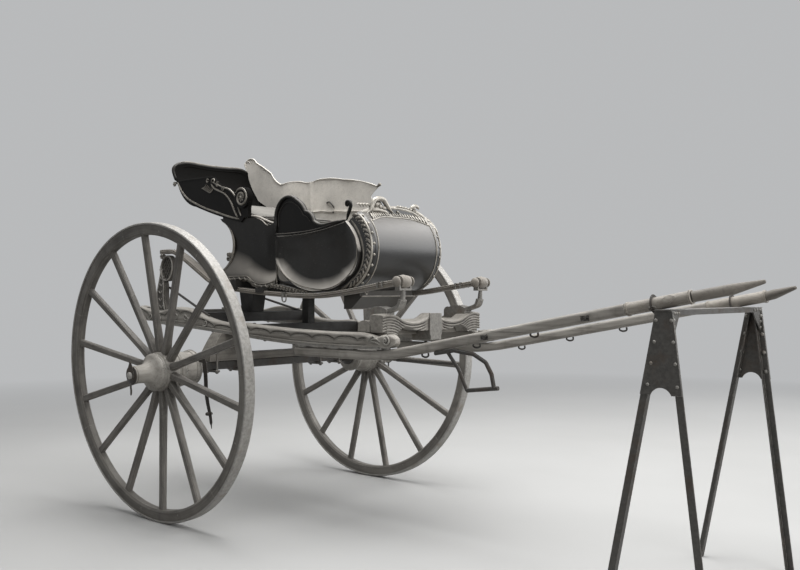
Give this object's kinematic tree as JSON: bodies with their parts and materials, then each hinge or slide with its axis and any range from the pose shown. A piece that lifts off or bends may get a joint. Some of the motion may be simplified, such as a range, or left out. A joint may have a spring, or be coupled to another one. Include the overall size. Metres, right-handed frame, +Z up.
{
  "type": "horse-drawn two-wheeled chaise on a trestle",
  "caption": "Light two-wheeled horse-drawn chaise: shell seat behind a barrel front, hung on leather braces over carved rails, long shafts resting on an iron trestle.",
  "frame": {"origin": "middle of the bounding box in plan, on the ground", "axes": "+X forward towards the shaft tips, +Y to the carriage's left, +Z up"},
  "size_m": [3.647, 1.9258, 1.9969],
  "materials": {
    "tyre_iron": "worn bright iron",
    "wheel_wood": "weathered painted wood",
    "frame_wood": "weathered carved wood",
    "dark_iron": "blackened",
    "body_lacquer": "dark lacquered",
    "brace_leather": "old harness leather",
    "apron_leather": "pale flesh side",
    "cushion": "worn"
  },
  "bodies": {
    "carriage": {"axle": "dark_iron", "linchpins": "dark_iron", "axle_tree": "frame_wood", "left_rail": "frame_wood", "right_rail": "frame_wood", "rail_irons": "dark_iron", "left_shaft": "frame_wood", "right_shaft": "frame_wood", "shaft_sleeves": "brace_leather", "shaft_tips": "frame_wood", "front_crossbar": "frame_wood", "crossbar_clip": "dark_iron", "front_irons": "dark_iron", "brace_rollers": "dark_iron", "rear_crossbar": "frame_wood", "left_rear_standard": "frame_wood", "right_rear_standard": "frame_wood", "rear_stays": "dark_iron", "left_brace": "brace_leather", "right_brace": "brace_leather", "middle_crossbars": "frame_wood", "body_buffers": "frame_wood", "seat_shell": "body_lacquer", "seat_box": "body_lacquer", "seat_board": "frame_wood", "seat_riser": "frame_wood", "seat_cushion": "cushion", "drum": "body_lacquer", "drum_discs": "body_lacquer", "side_ears": "body_lacquer", "under_box": "body_lacquer", "body_bearers": "frame_wood", "apron": "apron_leather", "step": "dark_iron", "trestle_legs": "dark_iron", "trestle_plates": "dark_iron", "trestle_rail": "dark_iron"},
    "right_wheel": {"right_tyre": "tyre_iron", "right_felloes": "wheel_wood", "right_spokes": "wheel_wood", "right_nave": "wheel_wood"},
    "left_wheel": {"left_tyre": "tyre_iron", "left_felloes": "wheel_wood", "left_spokes": "wheel_wood", "left_nave": "wheel_wood"}
  },
  "joints": [
    {"name": "right_wheel_turn", "type": "hinge", "parent": "carriage", "child": "right_wheel", "pos_m": [-1.0165, -0.815, 0.75044], "axis": [0, 0.9986, 0.0523], "continuous": true},
    {"name": "left_wheel_turn", "type": "hinge", "parent": "carriage", "child": "left_wheel", "pos_m": [-1.0165, 0.815, 0.75044], "axis": [0, 0.9986, -0.0523], "continuous": true}
  ]
}
